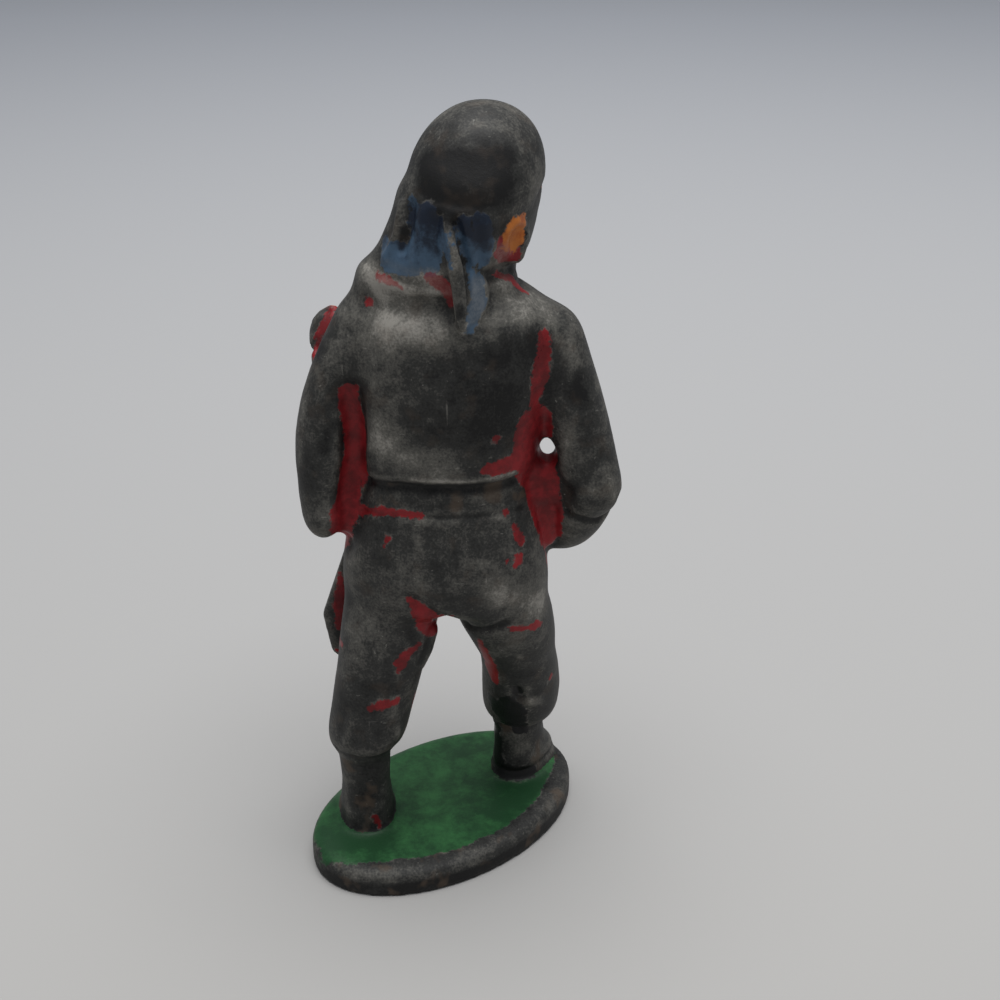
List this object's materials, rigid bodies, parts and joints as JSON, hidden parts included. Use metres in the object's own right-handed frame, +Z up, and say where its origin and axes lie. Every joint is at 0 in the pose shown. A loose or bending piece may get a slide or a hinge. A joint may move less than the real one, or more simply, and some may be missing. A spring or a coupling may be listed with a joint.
{
  "type": "toy figure",
  "caption": "Old cast lead toy pirate with a tied head scarf, belted shirt, bloused breeches and a hung cutlass, on an oval green base, its red and blue paint mostly worn to bare metal",
  "frame": {"origin": "centre of the base's underside", "axes": "+Z up; the figure faces -Y, so +X is its own left"},
  "size_m": [0.0326, 0.0256, 0.0802],
  "materials": {
    "bare_lead": "dark lead patina, rubbed lighter on the high places",
    "clothes_paint": "dark lead with red paint left in the folds",
    "scarf_paint": "dark lead with blue paint left at the nape",
    "flesh_paint": "worn flesh paint over dark lead",
    "boot_paint": "dark lead with traces of black paint",
    "base_paint": "green paint worn to bare metal along the rim"
  },
  "bodies": {
    "root": {"base": "base_paint", "left_boot": "boot_paint", "right_boot": "boot_paint", "left_breeches_leg": "clothes_paint", "right_breeches_leg": "clothes_paint", "breeches_seat": "clothes_paint", "belt": "boot_paint", "belt_buckle": "bare_lead", "shirt_body": "clothes_paint", "collar": "clothes_paint", "left_upper_sleeve": "clothes_paint", "right_upper_sleeve": "clothes_paint", "left_forearm_sleeve": "clothes_paint", "right_forearm_sleeve": "clothes_paint", "left_cuff": "clothes_paint", "right_cuff": "clothes_paint", "left_hand": "flesh_paint", "right_hand": "flesh_paint", "neck": "flesh_paint", "head": "flesh_paint", "right_ear": "flesh_paint", "scarf_cap": "scarf_paint", "scarf_drape": "scarf_paint", "scarf_tail": "scarf_paint", "cutlass_blade": "bare_lead", "cutlass_guard": "bare_lead", "cutlass_grip": "bare_lead"}
  },
  "joints": []
}
